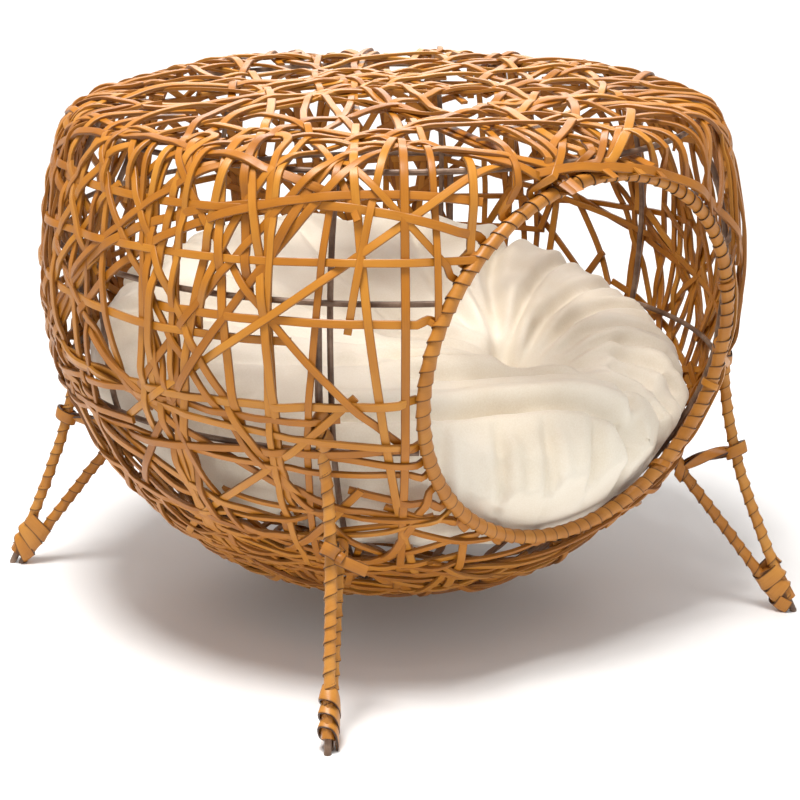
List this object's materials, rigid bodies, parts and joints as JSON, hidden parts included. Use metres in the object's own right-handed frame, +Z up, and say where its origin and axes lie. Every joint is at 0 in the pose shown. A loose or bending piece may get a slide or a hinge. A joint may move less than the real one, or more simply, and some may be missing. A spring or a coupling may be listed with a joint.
{
  "type": "wicker pet bed",
  "caption": "Raised woven rattan cat basket with a closed roof, round front entry, splayed bound-rod legs and a loose tufted round cushion.",
  "frame": {"origin": "on the floor under the middle of the object's box", "axes": "+Z up; the entry hoop faces -Y; +X is on the right when looking along +Y into the entry"},
  "size_m": [0.5, 0.484, 0.3675],
  "materials": {
    "frame_wire": "dull grey-brown lacquered wire",
    "rattan_weave": "flat natural rattan strip, satin, honey brown",
    "rattan_peel": "rattan peel wound tightly, satin, honey brown with dark seams",
    "cushion_velvet": "cream short-pile velvet, matt",
    "cushion_filling": "white polyester fibre, matt"
  },
  "bodies": {
    "basket": {"top_ring": "frame_wire", "mid_ring": "frame_wire", "lower_ring": "frame_wire", "base_ring": "frame_wire", "entry_hoop_rod": "frame_wire", "rib_front_stub": "frame_wire", "rib_front_right": "frame_wire", "rib_right": "frame_wire", "rib_back_right": "frame_wire", "rib_back": "frame_wire", "rib_back_left": "frame_wire", "rib_left": "frame_wire", "rib_front_left": "frame_wire", "entry_hoop_wrap": "rattan_peel", "hoop_top_lashing": "rattan_peel", "hoop_bottom_lashing": "rattan_peel", "weave_bay_front_right": "rattan_weave", "weave_bay_right_front": "rattan_weave", "weave_bay_right_back": "rattan_weave", "weave_bay_back_right": "rattan_weave", "weave_bay_back_left": "rattan_weave", "weave_bay_left_back": "rattan_weave", "weave_bay_left_front": "rattan_weave", "weave_bay_front_left": "rattan_weave", "weave_roof": "rattan_weave", "weave_floor": "rattan_weave", "leg_front_right_outer_rod": "frame_wire", "leg_front_right_inner_rod": "frame_wire", "leg_front_right_outer_wrap": "rattan_peel", "leg_front_right_inner_wrap": "rattan_peel", "leg_front_right_foot_binding": "rattan_peel", "leg_front_right_belly_binding": "rattan_peel", "leg_front_right_brace": "rattan_weave", "leg_back_right_outer_rod": "frame_wire", "leg_back_right_inner_rod": "frame_wire", "leg_back_right_outer_wrap": "rattan_peel", "leg_back_right_inner_wrap": "rattan_peel", "leg_back_right_foot_binding": "rattan_peel", "leg_back_right_belly_binding": "rattan_peel", "leg_back_right_brace": "rattan_weave", "leg_back_left_outer_rod": "frame_wire", "leg_back_left_inner_rod": "frame_wire", "leg_back_left_outer_wrap": "rattan_peel", "leg_back_left_inner_wrap": "rattan_peel", "leg_back_left_foot_binding": "rattan_peel", "leg_back_left_belly_binding": "rattan_peel", "leg_back_left_brace": "rattan_weave", "leg_front_left_outer_rod": "frame_wire", "leg_front_left_inner_rod": "frame_wire", "leg_front_left_outer_wrap": "rattan_peel", "leg_front_left_inner_wrap": "rattan_peel", "leg_front_left_foot_binding": "rattan_peel", "leg_front_left_belly_binding": "rattan_peel", "leg_front_left_brace": "rattan_weave"},
    "cushion": {"cushion_cover_top": "cushion_velvet", "cushion_cover_bottom": "cushion_velvet", "cushion_filling": "cushion_filling", "cushion_tuft_thread": "cushion_velvet"}
  },
  "joints": [
    {"name": "cushion_lift", "type": "slide", "parent": "basket", "child": "cushion", "axis": [0, 0, 1], "range_m": [0, 0.04]}
  ]
}
